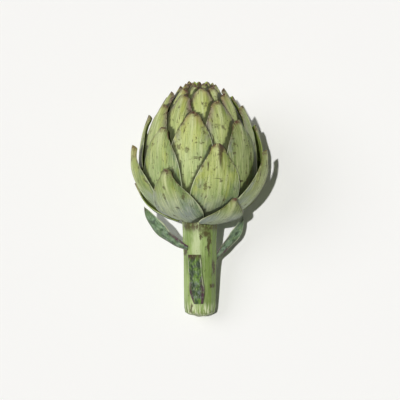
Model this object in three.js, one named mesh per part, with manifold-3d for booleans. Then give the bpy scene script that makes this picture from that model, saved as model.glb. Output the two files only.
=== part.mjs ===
// A globe artichoke, picked with a short stem and lying on its side.
//
// Millimetres, +Z up, the floor at z = 0. The head points along +Y and the cut
// stem along -Y. The plant is drawn upright first: its axis is local +Z with
// the head's underside at height 0, and azimuth 0 is local -Y, which faces up
// once the plant is laid down.

import * as THREE from 'three';
import { ParametricGeometry } from 'three/addons/geometries/ParametricGeometry.js';
import { mergeVertices } from 'three/addons/utils/BufferGeometryUtils.js';
import Module from 'manifold-3d';

const wasm = await Module();
wasm.setup();

// ---- driving dimensions --------------------------------------------------

const HEAD = { radius: 48.5, widest: 42, top: 103, crown: 1.7 }; // outside of the head
const CORE = { radius: 17.5, widest: 28, top: 86, bottom: 3 };   // what the bracts grow on

const BRACTS = 54;
const LAYER_STEP = 0.66;       // how much deeper each bract lies than the last
const DIVERGENCE = 137.50776;  // golden angle from one bract to the next, degrees
const FIRST_AZIMUTH = 32;      // azimuth of the lowest bract, degrees
const TIPS = { last: 103, rise: 79, pace: 12 };   // heights of the bract tips
const TOP_ROOM = 1.2;          // how near the last tip a bract's number is still counted
const WIDTH = { first: 20.5, loss: 0.29, stunted: 0.15, pace: 1.5 }; // half width, by number
const FLESH = { tip: 1.0, base: 2.2, closing: 2 };  // thickness, and how soon the tip closes
const TUCK = { body: 1.2, tip: 1.0, length: 14 };   // how far the margins turn inwards
const NOSE = { first: 2.2, gain: 3.3, pace: 3, length: 5 }; // blunt end: half width by number
const WAIST = { first: 1.25, loss: 0.45, pace: 8 };  // how hollow the shoulders are, by number
const SHOULDER = { length: 35.5, width: 18.5, share: 0.6 }; // tip to widest place, by half width
const FOOT_LOSS = 0.7;         // share of its width that a bract loses towards its base
const OPEN = 1;                // how far a tip stands off, unless its habit says
const GAP = 0.35;              // clearance between pieces that touch

const STEM = { radius: 11.1, neck: 12.3, cut: -62, ribs: 9, rib: 0.25 };
const STEM_OUTLINE = [         // radius and height, from the rounded cut end to the neck
  [0, STEM.cut],
  [STEM.radius - 3.5, STEM.cut + 0.4],
  [STEM.radius - 0.8, STEM.cut + 2.2],
  [STEM.radius - 0.3, STEM.cut + 6],
  [STEM.radius, -40],
  [STEM.radius, -20],
  [STEM.radius + 0.3, -8],
  [STEM.neck, 2],
  [STEM.neck + 0.6, 6],
];
const HEART = { bottom: 8, from: 0.72, to: 4, top: 30 }; // where it leaves the neck, and its end
const BUD = { from: 8, to: 80 };                        // angles on the core, degrees
const BUD_TIP = [[7, 86], [4.4, 92], [1.8, 96]];        // radius and height above the core
const BUD_TOP = 98;

const LIE_TILT = 19.6;         // how far the tip is raised when the plant lies down
const LIE_ROLL = 7;            // how far it rolls about its axis to rest on two bracts
const LIE_HEIGHT = 29.3;       // height of the plant's own origin over the floor

const FLOOR = { width: 400, depth: 20 };

const ROWS = 8;                // steps along a bract, shorter towards the tip
const ROW_EASE = 1.5;
const AROUND = 12;             // steps round its section
const SPINE_STEPS = 24;
const SWEEP = { step: 0.5, from: -60, to: 88 };  // search for a spine's ends, degrees
const MIN_RADIUS = 3;          // keeps the bend of the last bracts finite
const TURNED = { stem: 36, heart: 4, bud: 24, budRows: 8 };

// A bract's own habit, where it differs from its neighbours:
// turn in degrees, rise of the tip, opening of the tip and bulge in mm.
const HABITS = {
  0: { turn: 2, bulge: 3.2 },
  1: { turn: 2, bulge: 0.6 },
  2: { turn: 6 },
  3: { turn: -8, rise: 3, bulge: 0.8 },
  5: { turn: 4, rise: 3, open: 3.5 },
  6: { turn: 1, rise: 1.5, open: 4 },
  8: { turn: 4, rise: -1, bulge: 0.5 },
  9: { turn: -2 },
  10: { turn: 5, rise: 3, open: 0.5 },
  13: { turn: 1 },
  15: { turn: 3 },
  21: { turn: 3 },
  24: { turn: -3, rise: 1 },
  29: { rise: 1.5 },
  43: { rise: 0.3, open: 1.6 },
};

const COLOURS = {
  lower: 0x8fa388, upper: 0xb4c47f, crown: 0xa9a67a,
  stem: 0xa5bf74, leaf: 0x6f9070, stub: 0x4f7a3c,
};

const radians = THREE.MathUtils.degToRad;
const { lerp, clamp } = THREE.MathUtils;

// ---- the two surfaces that every bract lies between ------------------------

// A closed outline round an equator point: a superellipse above, an ellipse below.
function polar(angle, radius, up, down, power) {
  const c = Math.cos(angle) / radius;
  const s = Math.sin(angle);
  const reach = s > 0
    ? (Math.abs(c) ** power + Math.abs(s / up) ** power) ** (-1 / power)
    : 1 / Math.hypot(c, s / down);
  return new THREE.Vector2(reach * Math.cos(angle), reach * s);
}

function outside(angle) {
  const p = polar(angle, HEAD.radius, HEAD.top - HEAD.widest, HEAD.widest, HEAD.crown);
  p.y += HEAD.widest;
  return p;
}

function inside(angle) {
  const p = polar(angle, CORE.radius, CORE.top - CORE.widest, CORE.widest - CORE.bottom, 2);
  p.y += CORE.widest;
  return p;
}

// Height of a bract's tip by its number, and the number whose tip is at a height.
function tipHeight(number) {
  return TIPS.last - TIPS.rise * Math.exp(-number / TIPS.pace);
}

function numberAt(height) {
  return -TIPS.pace * Math.log(Math.max(TIPS.last - height, TOP_ROOM) / TIPS.rise);
}

// ---- bracts ----------------------------------------------------------------

// The line up the middle of a bract's outer face, as radius and height. It
// starts on the core, and its tip comes out to the outside of the head.
function spineOf(number, habit) {
  const step = radians(SWEEP.step);
  const depthAt = (angle) => LAYER_STEP * Math.max(number - numberAt(outside(angle).y), 0);
  const placeAt = (angle) => {
    const skin = outside(angle);
    const inward = inside(angle).sub(skin).normalize();
    return skin.addScaledVector(inward, depthAt(angle));
  };
  const room = (angle) => outside(angle).distanceTo(inside(angle)) - FLESH.base - 3 * GAP;

  const tipAt = tipHeight(number) + habit.rise;
  let tip = radians(SWEEP.from);
  while (tip < radians(SWEEP.to) && outside(tip + step).y < tipAt) tip += step;
  const clearsNeck = (angle) => angle > 0 || placeAt(angle).x > STEM.neck + FLESH.base + 3 * GAP;
  let base = tip;
  while (clearsNeck(base - step) && depthAt(base - step) < room(base - step)) base -= step;

  const points = [];
  for (let i = 0; i <= SPINE_STEPS; i += 1) {
    const t = i / SPINE_STEPS;
    const place = placeAt(lerp(base, tip, t));
    const out = inside(lerp(base, tip, t)).sub(place).normalize().negate();
    place.addScaledVector(out, habit.open * t ** 3 + habit.bulge * Math.sin(Math.PI * t));
    points.push(place);
  }
  return new THREE.SplineCurve(points);
}

// Half width of a bract at a distance from its tip: a blunt nose, hollow
// shoulders, the widest place, then narrowing to the base.
function halfWidth(fromTip, length, widest, number) {
  const shoulder = Math.min(
    SHOULDER.length * Math.sqrt(widest / SHOULDER.width), SHOULDER.share * length);
  const x = clamp(fromTip / shoulder, 0, 1);
  const y = clamp((fromTip - shoulder) / (length - shoulder), 0, 1);
  const hollow = WAIST.first - WAIST.loss * (1 - Math.exp(-number / WAIST.pace));
  const body = fromTip < shoulder
    ? Math.sin(Math.PI / 2 * x ** hollow)
    : 1 - FOOT_LOSS * y * y;
  const round = 1 - clamp(fromTip / NOSE.length, 0, 1);
  const grown = NOSE.first + NOSE.gain * (1 - Math.exp(-number / NOSE.pace));
  const blunt = Math.min(grown, widest / 2);
  const nose = blunt * Math.sqrt(1 - round * round);
  return ((widest * body) ** 4 + nose ** 4) ** 0.25;
}

// A closed skin: the section goes once round, and both ends shrink to a point.
function closedSkin(surface, around, along) {
  const skin = new ParametricGeometry((s, t, target) => surface(s % 1, t, target), around, along);
  skin.deleteAttribute('normal');
  skin.deleteAttribute('uv');
  const welded = mergeVertices(skin, 1e-3);
  const kept = [];
  const corners = welded.index.array;
  for (let i = 0; i < corners.length; i += 3) {
    const [a, b, c] = corners.slice(i, i + 3);
    if (a !== b && b !== c && c !== a) kept.push(a, b, c);
  }
  welded.setIndex(kept);
  return welded;
}

function bractGeometry(number) {
  const habit = { turn: 0, rise: 0, open: OPEN, bulge: 0, ...HABITS[number] };
  const spine = spineOf(number, habit);
  const length = spine.getLength();
  const azimuth = radians(FIRST_AZIMUTH - DIVERGENCE * number + habit.turn);
  const full = WIDTH.first - WIDTH.loss * number;
  const widest = full * (1 - WIDTH.stunted * Math.exp(-number / WIDTH.pace));

  const surface = (s, t, target) => {
    // the first step only closes the base, and steps shorten towards the tip
    const along = 1 - (1 - Math.max(t * ROWS - 1, 0) / (ROWS - 1)) ** ROW_EASE;
    const fromTip = (1 - along) * length;
    const place = spine.getPointAt(along);
    const tangent = spine.getTangentAt(along);
    const inward = new THREE.Vector2(-tangent.y, tangent.x);
    const across = t === 0 ? 0 : -Math.cos(2 * Math.PI * s);
    const side = Math.sin(2 * Math.PI * s);
    const closing = clamp(fromTip / FLESH.closing, 0, 1);
    const flesh = closing * lerp(FLESH.tip, FLESH.base, 1 - along);
    const turnedIn = closing * (TUCK.body + TUCK.tip * clamp(1 - fromTip / TUCK.length, 0, 1));
    let depth = turnedIn * across * across + Math.max(-side, 0) * flesh;
    if (t === 0) depth = flesh / 2;
    const wide = halfWidth(fromTip, length, widest, number);
    const swing = across * wide / Math.max(place.x, MIN_RADIUS);
    const radius = place.x + inward.x * depth;
    target.set(
      radius * Math.sin(azimuth + swing),
      -radius * Math.cos(azimuth + swing),
      place.y + inward.y * depth,
    );
  };
  return closedSkin(surface, AROUND, ROWS);
}

// ---- stem, heart and inner bud -----------------------------------------------

// Turns a profile of radius and height round the axis, with a rib pattern.
function turned(profile, around, rib) {
  const surface = (s, t, target) => {
    const place = profile[Math.round(t * (profile.length - 1))];
    const ribbed = place.x * (1 + rib * Math.cos(2 * Math.PI * STEM.ribs * s) / STEM.radius);
    target.set(
      ribbed * Math.cos(2 * Math.PI * s),
      ribbed * Math.sin(2 * Math.PI * s),
      place.y,
    );
  };
  return closedSkin(surface, around, profile.length - 1);
}

function coreOutline(from, to, steps) {
  const points = [];
  for (let i = 0; i <= steps; i += 1) points.push(inside(lerp(from, to, i / steps)));
  return points;
}

function stemGeometry() {
  const leaves = Math.asin((HEART.bottom - CORE.widest) / (CORE.widest - CORE.bottom));
  const profile = [
    ...STEM_OUTLINE.map(([radius, height]) => new THREE.Vector2(radius, height)),
    ...coreOutline(leaves * HEART.from, radians(HEART.to), TURNED.heart),
    new THREE.Vector2(0, HEART.top),
  ];
  return turned(profile, TURNED.stem, STEM.rib);
}

function budGeometry() {
  const profile = [
    new THREE.Vector2(0, HEART.top + GAP),
    ...coreOutline(radians(BUD.from), radians(BUD.to), TURNED.budRows),
    ...BUD_TIP.map(([radius, height]) => new THREE.Vector2(radius, height)),
    new THREE.Vector2(0, BUD_TOP),
  ];
  return turned(profile, TURNED.bud, 0);
}

// ---- the three stem leaves -----------------------------------------------------

// A leaf along a curve. Its outer face looks along facing, and its middle is
// raised by keel over its margins.
function bladeGeometry({ curve, widths, thickness, facing, keel }) {
  const last = widths.length - 1;
  const surface = (s, t, target) => {
    const place = curve.getPointAt(t);
    const tangent = curve.getTangentAt(t);
    const sideways = new THREE.Vector3().crossVectors(facing, tangent).normalize();
    const outward = new THREE.Vector3().crossVectors(tangent, sideways);
    const cell = Math.min(Math.floor(t * last), last - 1);
    const half = lerp(widths[cell], widths[cell + 1], t * last - cell);
    const across = Math.cos(2 * Math.PI * s);
    const closing = half === 0 ? 0 : 1;
    const swell = thickness * Math.sin(2 * Math.PI * s) / 2;
    const rise = closing * (keel * (1 - across * across) + swell);
    target.copy(place).addScaledVector(sideways, half * across).addScaledVector(outward, rise);
  };
  return closedSkin(surface, AROUND, last);
}

const onPlant = (x, front, height) => new THREE.Vector3(x, -front, height);

function leftLeaf() {
  return bladeGeometry({
    curve: new THREE.CubicBezierCurve3(
      onPlant(-9, 10, -12.5), onPlant(-19, 7.5, -9.5),
      onPlant(-31.5, 5.5, 1), onPlant(-39, 6, 15.5),
    ),
    widths: [0, 2.6, 3.7, 4.5, 5, 4.7, 3.4, 0],
    thickness: 1.2,
    facing: onPlant(-0.3, 1, -0.6),
    keel: 1.5,
  });
}

function rightLeaf() {
  return bladeGeometry({
    curve: new THREE.CubicBezierCurve3(
      onPlant(12.2, -1, -21.5), onPlant(14.5, -1, -14), onPlant(28, -5, -7), onPlant(30.5, -12, 7),
    ),
    widths: [0, 1.7, 2.8, 3.8, 4.3, 4.3, 3.2, 0],
    thickness: 1.2,
    facing: onPlant(0.5, 1, -0.4),
    keel: -1.2,
  });
}

function cutLeaf() {
  return bladeGeometry({
    curve: new THREE.CatmullRomCurve3([
      onPlant(-1.5, 12.2, -52), onPlant(-2, 12.3, -43), onPlant(-3, 12.2, -31),
      onPlant(-4, 12.1, -19), onPlant(-4, 12.1, -17.5),
    ]),
    widths: [0, 4, 5.3, 5.2, 4.9, 4.8, 4.8, 4.9, 0],
    thickness: 1.6,
    facing: onPlant(-0.35, 1, 0),
    keel: 0.5,
  });
}

// ---- laying the plant down --------------------------------------------------------

function solidOf(geometry) {
  return new wasm.Manifold(new wasm.Mesh({
    numProp: 3,
    vertProperties: new Float32Array(geometry.attributes.position.array),
    triVerts: new Uint32Array(geometry.index.array),
  }));
}

function geometryOf(solid) {
  const { vertProperties, triVerts } = solid.getMesh();
  const geometry = new THREE.BufferGeometry();
  geometry.setAttribute('position', new THREE.BufferAttribute(vertProperties, 3));
  geometry.setIndex(new THREE.BufferAttribute(triVerts, 1));
  return geometry;
}

// Cuts a piece off at the floor, so that what the plant rests on has the small
// flat spot that its weight presses.
function restOnFloor(mesh) {
  const box = new THREE.Box3().setFromObject(mesh);
  if (box.min.z >= 0) return;
  const slab = new THREE.BoxGeometry(FLOOR.width, FLOOR.width, FLOOR.depth);
  slab.deleteAttribute('normal');
  slab.deleteAttribute('uv');
  slab.translate(0, 0, -FLOOR.depth / 2);
  slab.applyMatrix4(mesh.matrixWorld.clone().invert());
  mesh.geometry = geometryOf(solidOf(mesh.geometry).subtract(solidOf(mergeVertices(slab))));
}

const artichoke = new THREE.Group();
artichoke.rotation.set(radians(LIE_TILT - 90), 0, radians(LIE_ROLL));
artichoke.position.z = LIE_HEIGHT;
artichoke.updateMatrixWorld(true);

function add(name, geometry, colour, roughness = 0.6) {
  const material = new THREE.MeshStandardMaterial({ color: colour, roughness });
  const mesh = new THREE.Mesh(geometry, material);
  mesh.name = name;
  artichoke.add(mesh);
}

add('stem', stemGeometry(), COLOURS.stem);
add('inner_bud', budGeometry(), COLOURS.crown);
add('stem_leaf_left', leftLeaf(), COLOURS.leaf);
add('stem_leaf_right', rightLeaf(), COLOURS.leaf);
add('stem_leaf_cut', cutLeaf(), COLOURS.stub);
for (let number = 0; number < BRACTS; number += 1) {
  const shade = new THREE.Color(COLOURS.lower);
  shade.lerp(new THREE.Color(COLOURS.upper), number / BRACTS);
  add(`bract_${String(number + 1).padStart(2, '0')}`, bractGeometry(number), shade);
}

artichoke.children.forEach(restOnFloor);

// the origin is on the floor under the middle of the whole plant
const middle = new THREE.Box3().setFromObject(artichoke).getCenter(new THREE.Vector3());
artichoke.position.x -= middle.x;
artichoke.position.y -= middle.y;
artichoke.updateMatrixWorld(true);

export default artichoke;
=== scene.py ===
import math
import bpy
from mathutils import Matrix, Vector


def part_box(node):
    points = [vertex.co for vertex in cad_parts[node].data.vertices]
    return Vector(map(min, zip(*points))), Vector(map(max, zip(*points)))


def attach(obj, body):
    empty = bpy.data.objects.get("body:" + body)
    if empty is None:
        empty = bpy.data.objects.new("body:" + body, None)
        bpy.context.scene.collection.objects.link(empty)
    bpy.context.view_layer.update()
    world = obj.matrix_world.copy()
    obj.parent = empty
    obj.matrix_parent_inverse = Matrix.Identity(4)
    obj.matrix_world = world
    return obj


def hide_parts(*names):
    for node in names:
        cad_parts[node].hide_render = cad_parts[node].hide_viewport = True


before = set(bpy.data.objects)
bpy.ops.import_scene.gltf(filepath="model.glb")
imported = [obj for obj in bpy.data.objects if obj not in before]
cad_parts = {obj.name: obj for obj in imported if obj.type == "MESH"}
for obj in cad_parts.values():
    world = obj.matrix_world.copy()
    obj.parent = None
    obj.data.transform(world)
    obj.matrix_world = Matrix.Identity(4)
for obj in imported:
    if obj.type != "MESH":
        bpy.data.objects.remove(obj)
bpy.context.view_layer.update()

from types import SimpleNamespace

import bpy
import numpy as np
from bpy.props import FloatProperty, FloatVectorProperty, IntProperty, PointerProperty
from mathutils import Matrix

bl_info = {
    "name": "Lying globe artichoke",
    "version": (1, 0, 0),
    "blender": (4, 5, 0),
    "location": "View3D > Sidebar > Artichoke",
    "description": "Grows a globe artichoke that lies on its cut stem, bract by bract",
    "category": "Add Mesh",
}

# ---- fixed facts, in millimetres and degrees -------------------------------------

MM = 0.001
GOLDEN_TURN = 137.50776
FIRST_AZIMUTH = 32.0
HEAD_FULLNESS = 1.7      # power of its outline above the widest place: 2 is an ellipse
HEART_TOP = 30.0
OUTER_BRACTS = 20        # the rest belong to the crown
SETTLE = 0.4             # how far its weight presses the plant into its resting spots

# Where a bract may lie.
SPINE_ANGLES = (-80.0, 88.0, 0.25)   # from the equator of the head: first, end and step
CORE = SimpleNamespace(radius=17.5, up=58.0, down=25.0, widest=28.0)
ROOT_RADIUS = 15.5       # bracts grow from outside this, below the equator
GAP = 0.35
FLESH = (1.0, 2.2)       # thickness at the tip and at the base
OPEN = 1.0               # how far a tip stands off, unless its habit says

# How bracts change with their number, by 1/e every pace bracts. WIDTH.loss is per bract.
TIPS = SimpleNamespace(end=103.0, climb=79.0, pace=12.0, nearest=1.2)
WIDTH = SimpleNamespace(first=20.5, loss=0.29, stunting=0.15, pace=1.5)
NOSE = SimpleNamespace(first=2.2, gain=3.3, pace=3.0, length=5.0)
WAIST = SimpleNamespace(first=1.25, loss=0.45, pace=8.0)

# Tip to widest place, on a bract of this half width, and at most this share of its length.
SHOULDER = SimpleNamespace(reach=35.5, at_width=18.5, share=0.6)
BASE_LOSS = 0.7          # share of the greatest width that is lost at the base

# Relief of a bract. Places are measured from its tip.
ROW_EASE = 1.5           # over 1 puts the rows closer together near the tip
CLOSING = 2.0            # the length over which the tip closes
TUCK = SimpleNamespace(margin=0.8, beak=0.9, beak_length=14, hook=1.1, hook_length=6.0)
EDGE_ROUND = 0.7         # under 1 makes a fuller edge than an ellipse
KEEL = SimpleNamespace(height=0.35, half=1.7, middle=9, length=10)
FLUTE = SimpleNamespace(height=0.05, apart=2.3, middle=18, length=16)
WAVE = SimpleNamespace(height=0.3, across=7, along=11)
RIM = SimpleNamespace(height=0.35, power=8, pace=3.7, step=1.7)
WOBBLE = SimpleNamespace(height=0.35, along=6, across=0.4, seed=90)
FADE = SimpleNamespace(tip=5, base=0.15)   # a length at the tip, a share at the base
MIN_RADIUS = 3.0         # nearer the axis than this, a bract wraps no tighter

# What a bract's skin is told.
MARGIN_SHADE_REACH = 0.8            # how far the shade beside a margin reaches
GRAIN_STEP = (53.0, 31.0, 40.0)   # shift of the grain from bract to bract, and inside it
TONE_SEED = 400

# The inner bud: the arc of the core that shows, then radius and height up to its tip.
BUD_ARC = SimpleNamespace(low=8, high=80, points=40)
BUD_TIP = ((7, 86), (4.4, 92), (1.8, 96), (0.3, 98))
FOLD = SimpleNamespace(depth=0.25, gain=0.5, above=70, over=15, round=2.5, pitch=9, inset=0.3)
# painted shade laid evenly over the inner bud, which sits deep among the bracts
BUD_PAINTED_SHADE = 0.4

# The stem: heights, and what its radius has there.
CUT_RADIUS = 5.0
STEM_END = ((0.4, 3.5), (2.2, 0.8), (6.0, 0.3))    # over the cut, and less than the stem's
STEM_SHAFT = ((-40, 0.0), (-20, 0.0), (-8, 0.3))   # more than the stem's
STEM_NECK = ((2, 0.0), (6, 0.6))                   # more than the neck's
STEM_HEART = ((9, 12.5), (HEART_TOP, 15.5))        # in all
# Ribs: height, how many go round, and phase.
STEM_RIBS = ((0.16, 9, 0.0), (0.10, 14, 1.1), (0.05, 23, 0.4), (0.03, 37, 2.0))
SWELL = SimpleNamespace(height=0.5, length=5, width=0.35)
SWELL_PLACES = ((-10, -1.57), (-21, 1.57))         # height, and azimuth in radians
STEM_WAVE = SimpleNamespace(height=0.25, along=9, across=2)
CUT_END = SimpleNamespace(rough=0.8, pace=3, slant=0.9, share=0.1)

# Relief of a stem leaf, and how many rows its outline is smoothed over.
FRILL = SimpleNamespace(height=0.5, pace=2.6)
SWAY = SimpleNamespace(height=0.3, across=1.5, along=5)
GROOVE = SimpleNamespace(depth=0.25, half=0.12)
SMOOTHING = 9
THINNEST = 0.05
LEAF_SHIFT = 17.0

# Each stem leaf: its curve, half widths by share of its length, thickness, the way its
# face looks, how far its middle is raised, and the seed of its waves.
STEM_LEAVES = {
    "stem_leaf_left": dict(
        corners=[(-8.6, -9.6, -13), (-19, -7.5, -9.5), (-31.5, -5.5, 1), (-39, -6, 15.5)],
        widths=[2.0, 2.9, 3.9, 4.6, 5.1, 4.7, 3.4, 0],
        thickness=1.2, facing=(-0.3, -1, -0.6), keel=1.5, seed=3),
    "stem_leaf_right": dict(
        corners=[(11.2, 1, -22.5), (14.5, 1, -14), (28, 5, -7), (30.5, 12, 7)],
        widths=[1.2, 2.0, 2.9, 3.9, 4.4, 4.3, 3.2, 0],
        thickness=1.2, facing=(0.5, -1, -0.4), keel=-1.2, seed=6),
    "stem_leaf_cut": dict(
        corners=[(-1.2, -11.6, -52), (-2.2, -12.3, -40.5), (-3.6, -12.2, -28.5),
                 (-4, -12.1, -17.5)],
        widths=[3.4, 4.8, 5.4, 5.2, 4.9, 4.8, 4.8, 4.8],
        thickness=2.0, facing=(-0.35, -1, 0), keel=0.5, seed=9),
}

# The stage: where the camera looks on the plant's axis, and the lamps, each with its
# width in degrees and how far right and up of the camera's line it stands.
LOOK_AT = 19.6
KEY = SimpleNamespace(width=1.2, right=-0.17, up=0.08, colour=(1.0, 0.99, 0.975))
FILL = SimpleNamespace(width=40, right=-1.0, up=0.4, colour=(1.0, 1.0, 1.0))
FLOOR_HALF = 6.0         # metres
FLOOR_ROUGHNESS = 0.9

# A bract's own habit, by its number: turn, rise, opening and bulge, then depth of green
# and of a brown streak, from 0 to 1.
HABITS = {
    0: dict(turn=2, bulge=3.2, deep=0.8),
    1: dict(turn=2, bulge=0.6),
    2: dict(turn=6),
    3: dict(turn=-8, rise=3, bulge=0.8, deep=0.35),
    5: dict(turn=4, rise=3, open=3.5, deep=0.7),
    6: dict(turn=1, rise=1.5, open=4),
    8: dict(turn=4, rise=-1, bulge=0.5, deep=0.15, streak=1.0),
    9: dict(turn=-2),
    10: dict(turn=5, rise=3, open=0.5),
    11: dict(deep=0.1),
    13: dict(turn=1, deep=0.9),
    15: dict(turn=3),
    21: dict(turn=3, deep=0.25),
    24: dict(turn=-3, rise=1, deep=0.15),
    29: dict(rise=1.5),
    43: dict(rise=0.3, open=1.6),
}

# Corky scars on the front of the stem: side and height of the middle, then half sizes.
STEM_SCARS = (
    ((6.3, -11.0), (1.5, 10.0)), ((0.5, -5.0), (1.6, 3.0)), ((4.0, -3.0), (3.4, 3.0)),
    ((9.2, -27.0), (1.6, 7.0)), ((8.6, -40.0), (1.4, 2.2)), ((-9.8, -16.0), (1.6, 4.0)),
    ((-6.2, -56.0), (1.5, 5.0)),
)


def habit_of(number):
    habit = dict(turn=0, rise=0, open=OPEN, bulge=0, deep=0.0, streak=0.0)
    habit.update(HABITS.get(number, {}))
    return habit


# ---- colour and material helpers ---------------------------------------------


def linear(hex_colour):
    """sRGB hex such as "#a9bb83" to linear RGBA."""
    value = int(hex_colour.lstrip("#"), 16)
    parts = [((value >> shift) & 255) / 255 for shift in (16, 8, 0)]
    red, green, blue = (p / 12.92 if p <= 0.04045 else ((p + 0.055) / 1.055) ** 2.4
                        for p in parts)
    return red, green, blue, 1.0


def add_node(tree, kind, links=None, **settings):
    """Adds a node. A setting names a property or an input, and links fill inputs."""
    node = tree.nodes.new(kind)
    for name, value in settings.items():
        if hasattr(node, name):
            setattr(node, name, value)
        else:
            node.inputs[name.replace("_", " ")].default_value = value
    for name, source in (links or {}).items():
        tree.links.new(source, node.inputs[name])
    return node


class Skin:
    """A material under construction: one shader, and short words for its maths."""

    def __init__(self, name):
        self.material = bpy.data.materials.new(name)
        self.material.use_nodes = True
        self.tree = self.material.node_tree
        self.tree.nodes.clear()
        self.shader = add_node(self.tree, "ShaderNodeBsdfPrincipled")
        add_node(self.tree, "ShaderNodeOutputMaterial", {"Surface": self.shader.outputs[0]})

    def attribute(self, name):
        """A vector attribute, then its three parts."""
        node = add_node(self.tree, "ShaderNodeAttribute", attribute_name=name)
        split = add_node(self.tree, "ShaderNodeSeparateXYZ", {0: node.outputs["Vector"]})
        return node.outputs["Vector"], split.outputs[0], split.outputs[1], split.outputs[2]

    def maths(self, operation, a, b=0.0):
        node = add_node(self.tree, "ShaderNodeMath", operation=operation)
        for socket, value in zip(node.inputs, (a, b)):
            if isinstance(value, (int, float)):
                socket.default_value = value
            else:
                self.tree.links.new(value, socket)
        return node.outputs[0]

    def times(self, first, *others):
        """The product of everything given."""
        for other in others:
            first = self.maths("MULTIPLY", first, other)
        return first

    def most(self, first, *others):
        """The largest of everything given."""
        for other in others:
            first = self.maths("MAXIMUM", first, other)
        return first

    def off(self, value, middle=0.0):
        """How far a value is from the middle."""
        return self.maths("ABSOLUTE", self.maths("SUBTRACT", value, middle) if middle else value)

    def plus(self, value, other, weight):
        """value + weight * other."""
        return self.maths("ADD", value, self.times(other, weight))

    def span(self, value, low, high, to_low=0.0, to_high=1.0):
        """Smooth step from to_low at low to to_high at high."""
        node = add_node(self.tree, "ShaderNodeMapRange", {"Value": value},
                        interpolation_type="SMOOTHSTEP")
        for name, number in zip(("From Min", "From Max", "To Min", "To Max"),
                                (low, high, to_low, to_high)):
            node.inputs[name].default_value = number
        return node.outputs[0]

    def noise(self, vector, stretch, detail=3.0, roughness=0.55, move=(0, 0, 0), distortion=0.0):
        """Noise of one cell per unit, after the vector is multiplied by stretch."""
        placed = add_node(self.tree, "ShaderNodeMapping", {"Vector": vector})
        placed.inputs["Scale"].default_value = stretch
        placed.inputs["Location"].default_value = move
        node = add_node(self.tree, "ShaderNodeTexNoise", {"Vector": placed.outputs[0]},
                        Scale=1.0, Detail=detail, Roughness=roughness, Distortion=distortion)
        return node.outputs[0]

    def mix(self, factor, a, b):
        """Colour a turning into colour b by factor."""
        node = add_node(self.tree, "ShaderNodeMix", data_type="RGBA")
        for socket, value in zip((node.inputs[0], node.inputs[6], node.inputs[7]), (factor, a, b)):
            if isinstance(value, bpy.types.NodeSocket):
                self.tree.links.new(value, socket)
            elif isinstance(value, (int, float)):
                socket.default_value = value
            else:
                socket.default_value = tuple(value)
        return node.outputs[2]

    def layers(self, colour, *pairs):
        """Lays tints over a colour in turn, each by its own factor."""
        for factor, tint in pairs:
            colour = self.mix(factor, colour, tint)
        return colour

    def spot(self, u, v, centre, size):
        """An oval that fades from 1 at a third of its size to 0 at its edge."""
        across = self.maths("DIVIDE", self.maths("SUBTRACT", u, centre[0]), size[0])
        along = self.maths("DIVIDE", self.maths("SUBTRACT", v, centre[1]), size[1])
        far = self.maths("ADD", self.times(across, across), self.times(along, along))
        return self.span(far, 1.0, 0.1)

    def relief(self, *pairs):
        """Bumps on top of one another, each a height from 0 to 1 and its depth in metres."""
        links = {}
        for height, depth in pairs:
            links["Height"] = height
            node = add_node(self.tree, "ShaderNodeBump", links, Strength=1.0, Distance=depth)
            links["Normal"] = node.outputs[0]
        return links["Normal"]

    def finish(self, colour, rough, normal, **uniform):
        self.tree.links.new(colour, self.shader.inputs["Base Color"])
        self.tree.links.new(rough, self.shader.inputs["Roughness"])
        self.tree.links.new(normal, self.shader.inputs["Normal"])
        for name, value in uniform.items():
            self.shader.inputs[name.replace("_", " ")].default_value = value
        return self.material


# ---- surfaces --------------------------------------------------------------------


def smooth_noise(x, y, seed, waves=5, paces=(0.7, 1.6), spread=3.0):
    """A few crossed sine waves with seeded directions and phases, added and divided by
    spread, which keeps them mostly between -1 and 1."""
    rng = np.random.default_rng(seed)
    total = np.zeros(np.broadcast(x, y).shape)
    for _ in range(waves):
        turn, phase = rng.uniform(0, 2 * math.pi, 2)
        pace = rng.uniform(*paces)
        total = total + np.sin(pace * (x * math.cos(turn) + y * math.sin(turn)) + phase)
    return total / spread


def hump(value, middle, width):
    """A bell of height 1: exp(-d * d), d being the distance from the middle over the width."""
    return np.exp(-(((value - middle) / width) ** 2))


def closed_mesh(name, rings, attributes):
    """A closed skin through rings of points, with a pole at the middle of each end ring.

    rings is [rows, around, 3] in metres. Each attribute is [rows, around, 3], and a
    pole takes the mean of its ring.
    """
    rows, around = rings.shape[:2]
    ends = np.stack([rings[0].mean(0), rings[-1].mean(0)])
    points = np.concatenate([rings.reshape(-1, 3), ends])
    row, column = np.meshgrid(np.arange(rows - 1), np.arange(around), indexing="ij")
    following = (column + 1) % around
    quads = np.stack([row * around + column, row * around + following,
                      (row + 1) * around + following, (row + 1) * around + column], -1)
    ring = np.arange(around)
    after = (ring + 1) % around
    first = np.stack([np.full(around, rows * around), after, ring], -1)
    top = (rows - 1) * around
    last = np.stack([np.full(around, rows * around + 1), top + ring, top + after], -1)
    mesh = bpy.data.meshes.new(name)
    faces = quads.reshape(-1, 4).tolist() + first.tolist() + last.tolist()
    mesh.from_pydata(points.tolist(), [], faces)
    mesh.shade_smooth()
    for key, values in attributes.items():
        poles = np.stack([values[0].mean(0), values[-1].mean(0)])
        layer = mesh.attributes.new(key, "FLOAT_VECTOR", "POINT")
        layer.data.foreach_set("vector", np.concatenate([values.reshape(-1, 3), poles]).ravel())
    mesh.update()
    thing = bpy.data.objects.new(name, mesh)
    bpy.context.scene.collection.objects.link(thing)
    return thing


def about_axis(azimuth, radius, height):
    """Points in the plant's own frame. Azimuth is 0 at the front and grows to the right."""
    parts = radius * np.sin(azimuth), -radius * np.cos(azimuth), height
    return np.stack(np.broadcast_arrays(*parts), -1)


def section(rows, around):
    """Once round a thin section: across is minus the cosine, and side is the sine."""
    turn = 2 * math.pi * (np.arange(around) + 0.5)[None, :] / around
    return -np.cos(turn) + np.zeros((rows, 1)), np.sin(turn)


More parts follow.
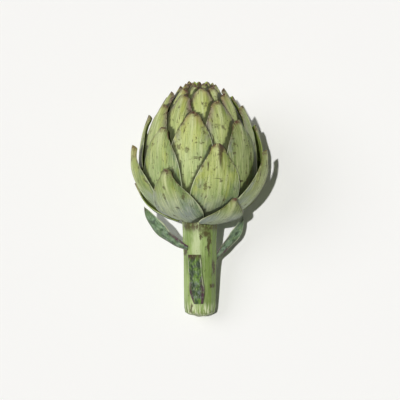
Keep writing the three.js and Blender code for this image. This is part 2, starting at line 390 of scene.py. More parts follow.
def polar(angle, radius, up, down, power):
    """Superellipse above the equator, ellipse below it, by the angle from the equator."""
    c, s = np.cos(angle), np.sin(angle)
    above = (np.abs(c / radius) ** power + np.abs(s / up) ** power + 1e-12) ** (-1 / power)
    below = 1 / np.hypot(c / radius, s / down)
    reach = np.where(s > 0, above, below)
    return np.stack([reach * c, reach * s], -1)


def outside(angle, head):
    """Radius and height of the outside of the head."""
    curve = polar(angle, head.radius, head.top - head.widest, head.widest, HEAD_FULLNESS)
    return curve + np.array([0.0, head.widest])


def inside(angle):
    """Radius and height of the core that the bracts grow on."""
    return polar(angle, CORE.radius, CORE.up, CORE.down, 2.0) + np.array([0.0, CORE.widest])


def tip_height(number):
    """Heights rise from 24 mm and close in on 103 mm, by 1/e every 12 bracts."""
    return TIPS.end - TIPS.climb * math.exp(-number / TIPS.pace)


def number_at(height):
    """The inverse of tip_height, with heights kept a little short of the end."""
    return -TIPS.pace * np.log(np.maximum(TIPS.end - height, TIPS.nearest) / TIPS.climb)


def spine_of(number, habit, head):
    """The line up the middle of a bract: points, inward normals and distance to the tip.

    It runs from the core out to the outside of the head. Its depth under the outside
    grows by one layer step for each bract whose tip it has still to pass.
    """
    angles = np.radians(np.arange(*SPINE_ANGLES))
    skin, core = outside(angles, head), inside(angles)
    room = np.linalg.norm(core - skin, axis=1)
    inward = (core - skin) / room[:, None]
    depth = head.layer_step * np.maximum(number - number_at(skin[:, 1]), 0)
    place = skin + inward * depth[:, None]
    covered = depth < room - FLESH[1] - 3 * GAP
    fits = covered & ((angles > 0) | (place[:, 0] > ROOT_RADIUS))
    tip = int(np.flatnonzero(skin[:, 1] < tip_height(number) + habit["rise"])[-1])
    blocked = np.flatnonzero(~fits[:tip])
    base = int(blocked[-1]) + 1 if len(blocked) else 0
    t = np.linspace(0, 1, tip - base + 1)
    lift = habit["open"] * t ** 3 + habit["bulge"] * np.sin(math.pi * t)
    line = place[base:tip + 1] - inward[base:tip + 1] * lift[:, None]
    steps = np.linalg.norm(np.diff(line, axis=0), axis=1)
    run = np.concatenate([[0.0], np.cumsum(steps)])
    return line, run


def half_width(from_tip, length, widest, number):
    """A blunt nose, hollow shoulders, the widest place, then narrowing to the base.

    The nose and the body are joined as the fourth root of the sum of their fourth powers.
    """
    shoulder = min(SHOULDER.reach * math.sqrt(widest / SHOULDER.at_width),
                   SHOULDER.share * length)
    x = np.clip(from_tip / shoulder, 0, 1)
    y = np.clip((from_tip - shoulder) / (length - shoulder), 0, 1)
    hollow = WAIST.first - WAIST.loss * (1 - math.exp(-number / WAIST.pace))
    body = np.where(from_tip < shoulder, np.sin(math.pi / 2 * x ** hollow),
                    1 - BASE_LOSS * y * y)
    left = 1 - np.clip(from_tip / NOSE.length, 0, 1)
    blunt = min(NOSE.first + NOSE.gain * (1 - math.exp(-number / NOSE.pace)), widest / 2)
    nose = blunt * np.sqrt(1 - left * left)
    return ((widest * body) ** 4 + nose ** 4) ** 0.25


def widest_of(number):
    """Half the width of a bract, which shrinks with its number. The first few are stunted."""
    return ((WIDTH.first - WIDTH.loss * number)
            * (1 - WIDTH.stunting * math.exp(-number / WIDTH.pace)))


def azimuth_of(number, habit):
    return math.radians(FIRST_AZIMUTH - GOLDEN_TURN * number + habit["turn"])


def outlines(head):
    """Every bract's azimuth, and its radius and half width by height."""
    found = []
    for number in range(head.bracts):
        habit = habit_of(number)
        line, run = spine_of(number, habit, head)
        wide = half_width(run[-1] - run, run[-1], widest_of(number), number)
        found.append((azimuth_of(number, habit), line[:, 1], line[:, 0], wide))
    return found


def margin_shade_of(number, azimuth, radius, height, margins):
    """How much painted shade a point gets beside and under the margins of earlier bracts, from 0
    to 1.

    It is exp(-d / MARGIN_SHADE_REACH), d being the shortest way in mm to the outline of a bract
    that lies over this one, and 1 under it.
    """
    nearest = np.full(azimuth.shape, 1e3)
    for middle, heights, radii, wide in margins[:number]:
        apart = np.abs((azimuth - middle + math.pi) % (2 * math.pi) - math.pi)
        reach = np.interp(height, heights, wide)
        past = np.maximum(np.maximum(height - heights[-1], heights[0] - height), 0)
        aside = np.maximum(apart * radius - reach, 0)
        nearest = np.minimum(nearest, np.hypot(aside, past))
    return np.exp(-nearest / MARGIN_SHADE_REACH)


def bract_rings(number, head, margins, rows=64, around=44):
    """A bract's closed skin in the plant's own frame, with its attributes.

    The first parameter runs along the spine, closer near the tip. The second goes once
    round the section: across is minus its cosine, and the inner face lies deeper than
    the outer one by the thickness times its sine.
    """
    habit = habit_of(number)
    line, run = spine_of(number, habit, head)
    length = run[-1]
    t = np.linspace(0, 1, rows)
    along = 1 - (1 - t) ** ROW_EASE
    reach = along * length
    spine = np.stack([np.interp(reach, run, line[:, k]) for k in (0, 1)], -1)
    tangent = np.gradient(spine, axis=0)
    tangent /= np.linalg.norm(tangent, axis=1, keepdims=True)
    inward = np.stack([-tangent[:, 1], tangent[:, 0]], -1)
    q = (length - reach)[:, None]
    wide = half_width(q, length, widest_of(number), number)

    across, side = section(rows, around)
    closing = np.sqrt(np.clip(q / CLOSING, 0, 1))
    flesh = closing * (FLESH[0] + (FLESH[1] - FLESH[0]) * (1 - along[:, None]))
    x = across * wide

    # margins turned in, more so in the beak, and most in the hook at the very tip
    beak = np.clip(1 - q / TUCK.beak_length, 0, 1)
    depth = closing * (TUCK.margin + TUCK.beak * beak) * across ** 2
    depth = depth + TUCK.hook * closing * hump(q, 0, TUCK.hook_length) * across ** 2
    depth = depth + flesh * np.maximum(-side, 0) ** EDGE_ROUND
    # keel up the nose, faint fluting, slow waves all over, and a waved rim
    keel = hump(x, 0, KEEL.half) * hump(q, KEEL.middle, KEEL.length)
    flute = (np.cos(2 * math.pi * x / FLUTE.apart + number)
             * hump(q, FLUTE.middle, FLUTE.length))
    wave = smooth_noise(x / WAVE.across, q / WAVE.along, number)
    rim = np.abs(across) ** RIM.power * np.sin(q / RIM.pace + RIM.step * number + across)
    fade = np.clip(q / FADE.tip, 0, 1) * np.clip(along[:, None] / FADE.base, 0, 1)
    depth = depth - fade * (KEEL.height * keel + FLUTE.height * flute
                            + WAVE.height * wave + RIM.height * rim)

    wobble = WOBBLE.height * fade * smooth_noise(q / WOBBLE.along, across * WOBBLE.across,
                                                 number + WOBBLE.seed)
    radius = spine[:, :1] + inward[:, :1] * depth
    height = spine[:, 1:] + inward[:, 1:] * depth
    swing = (x + wobble) / np.maximum(spine[:, :1], MIN_RADIUS)
    azimuth = azimuth_of(number, habit) + swing
    points = about_axis(azimuth, radius, height)

    flat = np.ones(points.shape[:2])
    inner = (side < 0) * flat
    q_all = q * flat
    rng = np.random.default_rng(number + TONE_SEED)
    # painted shade beside the margins of the bracts that lie over this one, on the outer face only
    margin_shade = margin_shade_of(number, azimuth, radius, height, margins) * (1 - inner)
    grain = [x + GRAIN_STEP[0] * number, q_all + GRAIN_STEP[1] * number,
             inner * GRAIN_STEP[2] + number]
    attributes = {
        "blade": np.stack([x, q_all, height], -1),
        "kind": np.stack([across, inner, flat * number / head.bracts], -1),
        "grain": np.stack(grain, -1),
        "mood": np.stack([flat * habit["deep"], flat * habit["streak"], margin_shade], -1),
        "tone": flat[..., None] * rng.random(3),
    }
    return points, attributes


# ---- from the plant's own frame to the floor ---------------------------------------


def lie_matrix():
    """Rotation from the upright plant to the lying one: roll about its axis, then tilt."""
    shape = bpy.context.scene.artichoke_lie
    return np.array(Matrix.Rotation(shape.tilt - math.pi / 2, 3, "X")
                    @ Matrix.Rotation(shape.roll, 3, "Z"))


def plant_origin():
    """The lying plant's own origin in mm: set so that its stem fills the frame's stem box."""
    low, high = (np.array(corner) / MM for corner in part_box("stem"))
    points, _ = stem_rings(bpy.context.scene.artichoke_stem, plain=True)
    laid = points.reshape(-1, 3) @ lie_matrix().T
    own_low, own_high = laid.min(0), laid.max(0)
    middle = (low + high) / 2 - (own_low + own_high) / 2
    return np.array([middle[0], middle[1], high[2] - own_high[2] - SETTLE])


def lay(points):
    """Plant frame in mm to the floor frame in metres, flattened where it meets the floor."""
    laid = points @ lie_matrix().T + plant_origin()
    laid[..., 2] = np.maximum(laid[..., 2], 0.0)
    return laid * MM


def place_piece(name, rings, attributes, node, slot, material):
    piece = closed_mesh(name, lay(rings), attributes)
    piece.data.materials.append(material)
    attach(piece, "root")
    if node:
        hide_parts(node)
    return piece


# ---- stem, bud and stem leaves --------------------------------------------------------


def stem_rings(stem, plain=False, rows=150, around=180):
    """The stem's skin: a profile of radius by height, swept round the axis.

    Ribs of uneven width run down it, it swells a little where leaves grew, and its cut
    end is rounded, ragged and slanting. plain leaves the ribs, swells and ragged end out.
    """
    t = np.linspace(0, 1, rows)
    height = stem.cut + (HEART_TOP - stem.cut) * t
    profile = [(stem.cut, CUT_RADIUS)]
    profile += [(stem.cut + rise, stem.radius - loss) for rise, loss in STEM_END]
    profile += [(place, stem.radius + gain) for place, gain in STEM_SHAFT]
    profile += [(place, stem.neck + gain) for place, gain in STEM_NECK]
    profile += STEM_HEART
    radius = np.interp(height, *zip(*profile))[:, None]
    azimuth = 2 * math.pi * np.arange(around)[None, :] / around
    tall = height[:, None]
    if not plain:
        ribs = sum(relief * np.cos(count * azimuth + phase)
                   for relief, count, phase in STEM_RIBS)
        swell = sum(SWELL.height * hump(tall, place, SWELL.length)
                    * hump(np.sin((azimuth - middle) / 2), 0, SWELL.width)
                    for place, middle in SWELL_PLACES)
        wave = smooth_noise(tall / STEM_WAVE.along, STEM_WAVE.across * np.cos(azimuth), 5)
        radius = radius + ribs + swell + STEM_WAVE.height * wave
        torn = smooth_noise(CUT_END.pace * np.cos(azimuth), CUT_END.pace * np.sin(azimuth), 8)
        ragged = CUT_END.rough * torn + CUT_END.slant * np.cos(azimuth)
        tall = tall + ragged * np.clip(1 - t / CUT_END.share, 0, 1)[:, None]
    points = about_axis(azimuth, radius, tall)
    return points, {"grain": points}


def bud_rings(head, rows=60, around=72):
    """The closed inner bud: the core's outline drawn out to a tip and folded like petals."""
    core = inside(np.radians(np.linspace(BUD_ARC.low, BUD_ARC.high, BUD_ARC.points)))
    outline = np.vstack([core, BUD_TIP])
    along = np.concatenate([[0], np.cumsum(np.linalg.norm(np.diff(outline, axis=0), axis=1))])
    reach = np.linspace(0, along[-1], rows)
    curve = np.stack([np.interp(reach, along, outline[:, k]) for k in (0, 1)], -1)
    turn = 2 * math.pi * np.arange(around)[None, :] / around
    upper = np.clip((curve[:, 1:] - FOLD.above) / FOLD.over, 0, 1)
    petals = np.abs(np.cos(FOLD.round * turn + curve[:, 1:] / FOLD.pitch))
    fold = (FOLD.depth + FOLD.gain * upper) * petals - FOLD.inset * upper
    radius = np.maximum(curve[:, :1] - FOLD.inset + fold, 0.2)
    points = about_axis(turn, radius, curve[:, 1:])
    q = head.top - points[..., 2]
    flat = np.ones(points.shape[:2])
    attributes = {
        "blade": np.stack([points[..., 0], q, points[..., 2]], -1),
        "kind": np.stack([0.8 * np.cos(4 * turn) * flat, 0 * flat, flat], -1),
        "grain": np.stack([radius * turn, q, flat], -1),
        # the third part of mood is an even painted shade over the whole bud
        "mood": np.stack([0 * flat, 0 * flat, BUD_PAINTED_SHADE * flat], -1),
        "tone": np.full(points.shape, 0.5),
    }
    return points, attributes


def bezier(corners, t):
    """A cubic Bezier curve through four control points, with its tangents."""
    a, b, c, d = (np.array(p, float) for p in corners)
    t = t[:, None]
    point = (1 - t) ** 3 * a + 3 * (1 - t) ** 2 * t * b + 3 * (1 - t) * t * t * c + t ** 3 * d
    slope = 3 * ((1 - t) ** 2 * (b - a) + 2 * (1 - t) * t * (c - b) + t * t * (d - c))
    return point, slope / np.linalg.norm(slope, axis=1, keepdims=True)


def blade_rings(corners, widths, thickness, facing, keel, seed, rows=70, around=36):
    """A leaf along a Bezier curve: half widths by share of its length, its middle raised
    by keel, its margins waved, and its thickness following its width, thickest where it is widest."""
    t = np.linspace(0, 1, rows)
    centre, tangent = bezier(corners, t)
    sideways = np.cross(np.array(facing, float), tangent)
    sideways /= np.linalg.norm(sideways, axis=1, keepdims=True)
    outward = np.cross(tangent, sideways)
    half = np.interp(t, np.linspace(0, 1, len(widths)), widths)
    padded = np.pad(half, SMOOTHING // 2, mode="reflect", reflect_type="odd")
    half = np.convolve(padded, np.ones(SMOOTHING) / SMOOTHING, "valid")
    half = np.maximum(half, THINNEST)[:, None]
    across, side = section(rows, around)
    body = np.minimum(half / max(widths), 1.0)
    length = np.linalg.norm(np.diff(centre, axis=0), axis=1).sum()
    run = (t * length)[:, None]
    rise = (body * keel * (1 - across ** 2)
            + 0.5 * thickness * body * np.sign(side) * np.abs(side) ** EDGE_ROUND)
    frill = across ** 4
    rise = rise + body * (FRILL.height * frill * np.sin(run / FRILL.pace + seed + 2 * across)
                          + SWAY.height * smooth_noise(across * SWAY.across,
                                                       run / SWAY.along, seed))
    rise = rise - GROOVE.depth * body * hump(across, 0, GROOVE.half)
    points = (centre[:, None, :] + sideways[:, None, :] * (half * across)[..., None]
              + outward[:, None, :] * rise[..., None])
    flat = np.ones(points.shape[:2])
    attributes = {
        "kind": np.stack([across, 0 * flat, (run / length) * flat], -1),
        "grain": np.stack([half * across + LEAF_SHIFT * seed, run * flat, flat * seed], -1),
    }
    return points, attributes


# ---- materials ---------------------------------------------------------------------


def bract_skin(tints):
    """Living bract: a smooth cuticle under a thin bloom of wax.

    The wax gives a soft, broad shine and turns the green grey at the base, veins run
    lengthwise, and the tip, the margins and old scratches have dried brown.
    """
    skin = Skin("waxy_bract_cuticle")
    span, times, most = skin.span, skin.times, skin.most
    _, x, q, height = skin.attribute("blade")
    _, across, inner, rank = skin.attribute("kind")
    grain, *_ = skin.attribute("grain")
    _, deep, streak, margin_shade = skin.attribute("mood")
    _, warm, cool, _ = skin.attribute("tone")
    edge = skin.off(across)

    # veins 0.5 and 1.5 mm apart, many times as long, and broader bands of 4 mm
    veins = skin.noise(grain, (2.0, 0.09, 1.0), detail=4, roughness=0.6)
    bands = skin.noise(grain, (0.65, 0.045, 1.0), detail=3)
    broad = skin.noise(grain, (0.26, 0.03, 1.0), detail=2, move=(13, 2, 0))
    cloud = skin.noise(grain, (0.12, 0.08, 1.0), detail=4)
    drift = skin.maths("SUBTRACT", cloud, 0.5)

    # green by distance from the tip, paler where it was covered, in tones of its own
    reach = skin.plus(q, drift, 26.0)
    colour = skin.layers(
        tints.tip,
        (span(reach, 1, 12), tints.fresh),
        (span(reach, 18, 42), tints.leaf),
        (times(span(rank, 0.1, 0.3), span(reach, 10, 34, 0, 0.75)), tints.pale),
        (span(warm, 0.4, 1.0, 0, 0.45), tints.gold),
        (span(cool, 0.4, 1.0, 0, 0.35), tints.sea),
        (span(broad, 0.5, 0.66, 0, 0.5), tints.gold),
        (span(broad, 0.47, 0.32, 0, 0.45), tints.shade),
        # deeper green on the bracts given a depth in HABITS, most strongly on the right-hand ones:
        # partly their own darker green, partly painted shade
        (times(deep, span(cloud, 0.3, 0.6, 0.7, 1.0)), tints.deep))

    # wax low on the head and along the margins, but not near the tip
    low = skin.plus(height, drift, 30.0)
    sides = times(span(edge, 0.4, 0.95), span(cloud, 0.44, 0.6, 0.0, 0.8))
    wax = most(times(span(low, 32, 12), span(q, 8, 22)), times(sides, span(q, 8, 22)))

    # painted highlight palest along the middle, a little left of it, painted shade deepening the
    # green towards the right-hand flank, and veins
    lean = skin.plus(across, drift, 1.5)
    colour = skin.layers(
        colour,
        (times(wax, 0.95), tints.bloom),
        (span(skin.off(lean, -0.2), 0.7, 0.05, 0, 0.45), tints.pale),
        (span(lean, 0.25, 1.0, 0, 0.6), tints.shade),
        (span(veins, 0.48, 0.72, 0, 0.4), tints.vein),
        (span(veins, 0.5, 0.3, 0, 0.38), tints.shade),
        (span(bands, 0.5, 0.7, 0, 0.45), tints.vein),
        (span(bands, 0.48, 0.3, 0, 0.35), tints.shade))

    # mauve flanks, strongest on the upper bracts
    flank = times(span(edge, 0.35, 0.95), span(rank, 0.2, 0.45, 0.1, 0.85),
                  span(cloud, 0.38, 0.6, 0.35, 1.0), span(q, 40, 10))

    # a pale midrib up the nose, browned along one side on an old bract
    rib = times(span(skin.off(x), 1.6, 0.3), span(q, 30, 8), span(q, 1.5, 5, 0, 0.35))
    wander = skin.plus(x, drift, 6.0)
    scar = times(span(skin.off(wander, 1.8), 2.2, 0.7), span(q, 21, 11), streak,
                 span(veins, 0.35, 0.6, 0.4, 1))

    # dried tip and margins, and a thin pale line where the edge catches light
    ragged = skin.noise(grain, (0.5, 0.5, 1.0), detail=4, move=(9, 3, 0))
    tip = times(span(q, 5.0, 0.8), span(ragged, 0.38, 0.6, 0.2, 1.0))
    rim = times(span(edge, 0.84, 0.975), span(q, 26, 4), span(ragged, 0.40, 0.56))
    light = times(span(edge, 0.955, 0.99), span(q, 6, 16, 0, 0.8))

    # freckles under half a millimetre, lengthwise scratches, cross nicks, and bruises
    freckle = skin.noise(grain, (1.6, 1.1, 1.0), detail=1, roughness=0.4, move=(5, 7, 0))
    nick = skin.noise(grain, (0.6, 0.12, 1.0), detail=3, move=(34, 15, 0), distortion=0.7)
    cross = skin.noise(grain, (0.09, 0.4, 1.0), detail=4, roughness=0.6, move=(6, 47, 0),
                       distortion=0.6)
    bruise = skin.noise(grain, (0.17, 0.12, 1.0), detail=6, roughness=0.7, move=(2, 17, 0))
    marks = most(span(freckle, 0.69, 0.75, 0, 0.8), span(nick, 0.635, 0.69, 0, 0.8),
                 span(bruise, 0.58, 0.64, 0, 0.65), span(cross, 0.665, 0.71, 0, 0.85))

    # painted shade beside the margin of the bract above, and the inner face is bright green
    colour = skin.layers(
        colour,
        (flank, tints.mauve), (rib, tints.vein), (scar, tints.brown),
        (span(margin_shade, 0.2, 0.95, 0, 0.85), tints.gap),
        (light, tints.margin), (most(tip, rim), tints.rim),
        (marks, tints.brown), (times(inner, 0.85), tints.inner))

    rough = skin.plus(skin.plus(span(veins, 0.3, 0.7, 0.40, 0.56), wax, 0.12), marks, 0.15)
    fine = skin.noise(grain, (4.0, 2.5, 1.0), detail=3)
    normal = skin.relief((veins, 0.0004), (bands, 0.0006), (fine, 0.00008),
                         (skin.maths("SUBTRACT", 1.0, marks), 0.0002))
    return skin.finish(colour, rough, normal, Specular_IOR_Level=0.35, IOR=1.45,
                       Sheen_Weight=0.04, Sheen_Roughness=0.5)


def stem_skin(tints):
    """Ribbed stem: a firm green rind with pale, stringy ribs.

    A painted highlight runs pale up the front, left of the middle, painted shade deepens the right
    side, corky brown scars mark where leaves grew, and the fibres show pale at the cut end.
    """
    skin = Skin("ribbed_stem_rind")
    span, times, most = skin.span, skin.times, skin.most
    grain, side, front, height = skin.attribute("grain")
    strings = skin.noise(grain, (1.0, 1.0, 0.03), detail=4, roughness=0.6)
    ribs = skin.noise(grain, (0.3, 0.3, 0.015), detail=2, move=(3, 5, 1))
    cloud = skin.noise(grain, (0.12, 0.12, 0.05), detail=4)
    ragged = skin.noise(grain, (0.5, 0.5, 0.2), detail=5, roughness=0.65, move=(7, 1, 4))
    wander = skin.plus(side, skin.maths("SUBTRACT", ragged, 0.5), 8.0)

    # painted shade: deeper green towards the right-hand side; painted highlight: pale up the
    # front, left of the middle; and pale fibres at the cut end
    painted_highlight = times(span(skin.off(wander, -2.5), 4.5, 0.5), span(height, -42, -12, 0.25, 0.8))
    fibres = times(span(height, -50, -56), span(strings, 0.47, 0.58, 0, 0.8))
    colour = skin.layers(
        tints.stem,
        (span(cloud, 0.35, 0.65, 0, 0.8), tints.stem_deep),
        (span(wander, 0.5, 7, 0, 0.75), tints.stem_deep),
        (painted_highlight, tints.stem_pale),
        (span(ribs, 0.52, 0.66, 0, 0.35), tints.stem_pale),
        (span(strings, 0.5, 0.7, 0, 0.3), tints.stem_pale),
        (span(strings, 0.48, 0.3, 0, 0.35), tints.stem_deep),
        (fibres, tints.margin))

    # browned cut end, corky scars where leaves grew, corky neck, and freckles
    cut = times(span(height, -56, -62), span(ragged, 0.42, 0.6, 0.1, 0.7))
    front_only = span(front, 0, -3)
    scars = [times(skin.spot(wander, height, centre, size), front_only)
             for centre, size in STEM_SCARS]
    neck = times(span(height, -4, 1.5), span(ragged, 0.4, 0.55, 0.2, 1))
    freckle = skin.noise(grain, (0.6, 0.6, 0.4), detail=2, move=(8, 8, 8))
    marks = most(cut, *scars, neck, span(freckle, 0.66, 0.73, 0, 0.8))
    colour = skin.mix(times(marks, 0.85), colour, tints.brown)

    rough = span(strings, 0.3, 0.7, 0.42, 0.58)
    normal = skin.relief((strings, 0.0004), (ribs, 0.0004),
                         (skin.maths("SUBTRACT", 1.0, marks), 0.0002))
    return skin.finish(colour, rough, normal, Specular_IOR_Level=0.4, IOR=1.45,
                       Sheen_Weight=0.08, Sheen_Roughness=0.5)


def leaf_skin(tints, name, top, low, purple, cut):
    """Young stem leaf: downy blue-green with pale margins that turn purple at the base.

    A grey down lies on it in patches. purple is how strongly the margins turn, and cut
    how strongly the far end is browned.
    """
    skin = Skin(name)
    span, times = skin.span, skin.times
    _, across, _, share = skin.attribute("kind")
    grain, *_ = skin.attribute("grain")
    edge = skin.off(across)
    cloud = skin.noise(grain, (0.3, 0.2, 1.0), detail=4)
    veins = skin.noise(grain, (1.4, 0.25, 1.0), detail=4)
    blot = skin.noise(grain, (0.35, 0.2, 1.0), detail=5, roughness=0.7, move=(4, 4, 0))
    down = skin.noise(grain, (0.5, 0.3, 1.0), detail=5, roughness=0.7, move=(14, 9, 0))
    grey = times(span(down, 0.48, 0.64), span(share, 0.9, 0.2, 0.1, 0.5))
    pale = times(span(edge, 0.84, 0.96), span(cloud, 0.4, 0.55, 0.2, 0.7))
    red = times(span(edge, 0.45, 0.8), span(share, 0.65, 0.2, 0, purple),
                span(blot, 0.4, 0.5, 0.45, 1.0))
    dried = times(span(share, 0.86, 0.98), span(blot, 0.38, 0.55, 0.3, cut))
    colour = skin.layers(
        top,
        (span(cloud, 0.38, 0.62), low),
        (span(veins, 0.5, 0.7, 0, 0.4), tints.stem_pale),
        (span(veins, 0.48, 0.34, 0, 0.6), tints.leaf_dark),
        (span(blot, 0.48, 0.6, 0, 0.8), tints.leaf_dark),
        (grey, tints.bloom), (pale, tints.margin), (red, tints.purple), (dried, tints.brown))
    rough = span(veins, 0.3, 0.7, 0.5, 0.65)
    normal = skin.relief((veins, 0.0005), (blot, 0.0008))
    return skin.finish(colour, rough, normal, Specular_IOR_Level=0.35, IOR=1.45,
                       Sheen_Weight=0.1, Sheen_Roughness=0.6)


# ---- properties ------------------------------------------------------------------------


def tint(name, hex_colour, about):
    return FloatVectorProperty(name=name, description=about, subtype="COLOR", size=4,
                               min=0, max=1, default=linear(hex_colour))


class ArtichokeHead(bpy.types.PropertyGroup):
    radius: FloatProperty(name="Radius", default=48.5,
                          description="Outside radius of the head, mm")
    widest: FloatProperty(name="Widest", default=42.0,
                          description="Height of the widest place, mm")
    top: FloatProperty(name="Top", description="Height of the head, mm", default=103.0)
    layer_step: FloatProperty(name="Layer step", default=0.66,
                              description="How much deeper each bract lies than the last, mm")
    bracts: IntProperty(name="Bracts", description="How many bracts stand free", default=54)


class ArtichokeStem(bpy.types.PropertyGroup):
    radius: FloatProperty(name="Radius", description="Radius of the stem, mm", default=11.1)
    neck: FloatProperty(name="Neck", description="Radius under the head, mm", default=12.3)
    cut: FloatProperty(name="Cut", description="Height of the cut end, mm", default=-62.0)


class ArtichokeLie(bpy.types.PropertyGroup):
    tilt: FloatProperty(name="Tilt", description="How far the tip is raised", subtype="ANGLE",
                        default=math.radians(19.6))
    roll: FloatProperty(name="Roll", description="How far the plant rolls about its axis",
                        subtype="ANGLE", default=math.radians(7.0))


class ArtichokeTints(bpy.types.PropertyGroup):
    tip: tint("Tip", "#a9985a", "Olive yellow of the tips")
    fresh: tint("Fresh", "#b4bf62", "Yellow green of the upper half")
    leaf: tint("Leaf", "#7c9e52", "Green of the lower half")
    # Pale also lays the painted highlight along the middle of each bract.
    pale: tint("Pale", "#c3d08e", "Pale green where an inner bract was covered")
    # Deep is partly the bracts' own darker green, partly painted shade on the right-hand bracts.
    deep: tint("Deep", "#596d1f", "Dark green of the bracts that grew in the light")
    bloom: tint("Bloom", "#959f9d", "Grey of the wax at the base")
    vein: tint("Vein", "#dfe5ae", "Pale veins")
    # Shade also lays the painted shade on the right-hand flank of each bract.
    shade: tint("Shade", "#5d7a33", "Green between the veins")
    gold: tint("Gold", "#c6c864", "Yellow green of the bands that faced the sun")
    sea: tint("Sea", "#86a97a", "Blue green of the cooler bracts")
    # Painted shade beside and under the margin of the bract above.
    gap: tint("Gap", "#2b3016", "Shade and dust under a margin")
    mauve: tint("Mauve", "#8a7174", "Flanks of the upper bracts")
    margin: tint("Margin", "#e0e6be", "Thin pale margin")
    rim: tint("Rim", "#5a392f", "Dried tip and rim")
    brown: tint("Brown", "#47341a", "Freckles, scratches and scars")
    inner: tint("Inner", "#a9bf55", "Inner face")
    stem: tint("Stem", "#a3ba72", "Rind of the stem")
    # Stem deep also lays the painted shade down the right-hand side of the stem.
    stem_deep: tint("Stem deep", "#6b8438", "Furrows of the stem")
    # Stem pale also lays the painted highlight up the front of the stem, left of the middle.
    stem_pale: tint("Stem pale", "#c6d1a0", "Ribs of the stem")
    leaf_top: tint("Stem leaf", "#7f9a78", "Blue green of the stem leaves")
    leaf_low: tint("Stem leaf low", "#5d7a4c", "Darker green of the stem leaves")
    leaf_dark: tint("Stem leaf dark", "#2d3d26", "Blotches of the stem leaves")
    cut_top: tint("Cut leaf", "#66892f", "Green of the cut leaf")
    cut_low: tint("Cut leaf low", "#2f4326", "Dark green of the cut leaf")
    purple: tint("Purple", "#4a1f3a", "Purple of the leaf margins")


class ArtichokeStage(bpy.types.PropertyGroup):
    floor: tint("Floor", "#f3f3f2", "Colour of the floor")
    distance: FloatProperty(name="Camera distance", unit="LENGTH", default=1.2,
                            description="From the middle of the picture to the camera")
    width: FloatProperty(name="Picture width", unit="LENGTH", default=0.28,
                         description="Width seen at the middle of the plant")
    lean: FloatProperty(name="Lean", subtype="ANGLE", default=math.radians(5.0),
                        description="How far the tip leans towards the camera")
    key: FloatProperty(name="Key light", description="Strength of the key light", default=2.5)
    fill: FloatProperty(name="Fill light", default=0.65,
                        description="Strength of the soft side light")
    sky: FloatProperty(name="Sky", description="Strength of the surrounding light", default=0.09)


# ---- operators ---------------------------------------------------------------------------


class ARTICHOKE_OT_bracts(bpy.types.Operator):
    """Grow the overlapping bracts"""
    bl_idname = "artichoke.bracts"
    bl_label = "Bracts"

    def execute(self, context):
        head, tints = context.scene.artichoke_head, context.scene.artichoke_tints
        material, margins = bract_skin(tints), outlines(head)
        for number in range(head.bracts):
            rings, attributes = bract_rings(number, head, margins)
            label = f"bract_{number + 1:02d}"
            slot = "outer_bract" if number < OUTER_BRACTS else "crown_bract"
            place_piece(label + "_blade", rings, attributes, label, slot, material)
        return {"FINISHED"}


class ARTICHOKE_OT_bud(bpy.types.Operator):
    """Grow the closed bud at the middle of the head"""
    bl_idname = "artichoke.bud"
    bl_label = "Inner bud"

    def execute(self, context):
        rings, attributes = bud_rings(context.scene.artichoke_head)
        material = bpy.data.materials["waxy_bract_cuticle"]
        place_piece("inner_bud_folds", rings, attributes, "inner_bud", "inner_bud", material)
        return {"FINISHED"}


class ARTICHOKE_OT_stem(bpy.types.Operator):
    """Grow the ribbed stem with its cut end"""
    bl_idname = "artichoke.stem"
    bl_label = "Stem"

    def execute(self, context):
        rings, attributes = stem_rings(context.scene.artichoke_stem)
        material = stem_skin(context.scene.artichoke_tints)
        place_piece("stem_rind", rings, attributes, "stem", "stem", material)
        return {"FINISHED"}


class ARTICHOKE_OT_stem_leaves(bpy.types.Operator):
    """Grow the three leaves on the stem"""
    bl_idname = "artichoke.stem_leaves"
    bl_label = "Stem leaves"

    def execute(self, context):
        tints = context.scene.artichoke_tints
        young = leaf_skin(tints, "downy_stem_leaf", tints.leaf_top, tints.leaf_low, 1.0, 0.7)
        old = leaf_skin(tints, "bruised_cut_leaf", tints.cut_top, tints.cut_low, 0.9, 1.0)
        for node, shape in STEM_LEAVES.items():
            slot, material = ("cut_leaf", old) if node == "stem_leaf_cut" else ("stem_leaf", young)
            rings, attributes = blade_rings(**shape)
            place_piece(node + "_blade", rings, attributes, node, slot, material)
        return {"FINISHED"}


def view_axes(lean):
    """The camera's right, up and back in the floor frame, for a plant that leans towards it."""
    turn = lie_matrix()
    front, axis = turn @ np.array([0, -1, 0]), turn @ np.array([0, 0, 1])
    back = math.cos(lean) * front + math.sin(lean) * axis
    up = math.cos(lean) * axis - math.sin(lean) * front
    return np.cross(up, back), up, back


def aim(thing, right, up, back, position):
    rows = np.eye(4)
    rows[:3, 0], rows[:3, 1], rows[:3, 2], rows[:3, 3] = right, up, back, position
    thing.matrix_world = Matrix(rows.tolist())


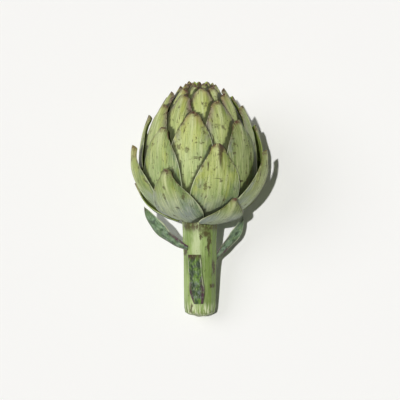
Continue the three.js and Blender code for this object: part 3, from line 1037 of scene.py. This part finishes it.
class ARTICHOKE_OT_stage(bpy.types.Operator):
    """Set the floor, the lights and the camera"""
    bl_idname = "artichoke.stage"
    bl_label = "Stage"

    def execute(self, context):
        scene, stage = context.scene, context.scene.artichoke_stage
        right, up, back = view_axes(stage.lean)
        target = (plant_origin() + lie_matrix() @ np.array([0, 0, LOOK_AT])) * MM

        lens = bpy.data.cameras.new("camera")
        lens.lens = lens.sensor_width * stage.distance / stage.width
        camera = bpy.data.objects.new("camera", lens)
        aim(camera, right, up, back, target + back * stage.distance)
        scene.collection.objects.link(camera)
        scene.camera = camera

        for name, strength, lamp in (("key", stage.key, KEY), ("fill", stage.fill, FILL)):
            sun = bpy.data.lights.new(name, "SUN")
            sun.energy, sun.angle, sun.color = strength, math.radians(lamp.width), lamp.colour
            self.light(scene, sun, target, back + right * lamp.right + up * lamp.up)

        world = bpy.data.worlds.new("studio")
        world.use_nodes = True
        sky = world.node_tree.nodes["Background"]
        sky.inputs["Color"].default_value = (1, 1, 1, 1)
        sky.inputs["Strength"].default_value = stage.sky
        scene.world = world
        scene.view_settings.view_transform = "Standard"

        mesh = bpy.data.meshes.new("floor")
        signs = [(-1, -1), (1, -1), (1, 1), (-1, 1)]
        corners = [(FLOOR_HALF * x, FLOOR_HALF * y, 0) for x, y in signs]
        mesh.from_pydata(corners, [], [(0, 1, 2, 3)])
        floor = bpy.data.objects.new("floor", mesh)
        scene.collection.objects.link(floor)
        paper = bpy.data.materials.new("matt_paper")
        paper.use_nodes = True
        shader = paper.node_tree.nodes["Principled BSDF"]
        shader.inputs["Base Color"].default_value = tuple(stage.floor)
        shader.inputs["Roughness"].default_value = FLOOR_ROUGHNESS
        floor.data.materials.append(paper)
        return {"FINISHED"}

    def light(self, scene, lamp, target, way):
        """Puts a lamp out from the target and turns it to face the target."""
        thing = bpy.data.objects.new(lamp.name, lamp)
        way = np.array(way, float)
        place = target + way
        back = way / np.linalg.norm(way)
        side = np.cross([0.0, 1.0, 0.1], back)
        side /= np.linalg.norm(side)
        aim(thing, side, np.cross(back, side), back, place)
        scene.collection.objects.link(thing)


class ARTICHOKE_PT_sidebar(bpy.types.Panel):
    bl_idname = "ARTICHOKE_PT_sidebar"
    bl_label = "Artichoke"
    bl_space_type = "VIEW_3D"
    bl_region_type = "UI"
    bl_category = "Artichoke"

    def draw(self, context):
        for operator in OPERATORS:
            self.layout.operator(operator.bl_idname)
        for group in GROUPS:
            settings = getattr(context.scene, group)
            box = self.layout.box()
            for name in settings.__annotations__:
                box.prop(settings, name)


GROUPS = {
    "artichoke_head": ArtichokeHead,
    "artichoke_stem": ArtichokeStem,
    "artichoke_lie": ArtichokeLie,
    "artichoke_tints": ArtichokeTints,
    "artichoke_stage": ArtichokeStage,
}
OPERATORS = (ARTICHOKE_OT_bracts, ARTICHOKE_OT_bud, ARTICHOKE_OT_stem,
             ARTICHOKE_OT_stem_leaves, ARTICHOKE_OT_stage)


def register():
    for kind in (*GROUPS.values(), *OPERATORS, ARTICHOKE_PT_sidebar):
        bpy.utils.register_class(kind)
    for name, kind in GROUPS.items():
        setattr(bpy.types.Scene, name, PointerProperty(type=kind))


def unregister():
    for name in GROUPS:
        delattr(bpy.types.Scene, name)
    for kind in (ARTICHOKE_PT_sidebar, *reversed(OPERATORS), *reversed(GROUPS.values())):
        bpy.utils.unregister_class(kind)


def main():
    register()
    bpy.ops.artichoke.bracts()
    bpy.ops.artichoke.bud()
    bpy.ops.artichoke.stem()
    bpy.ops.artichoke.stem_leaves()
    bpy.ops.artichoke.stage()


if __name__ == "__main__":
    main()
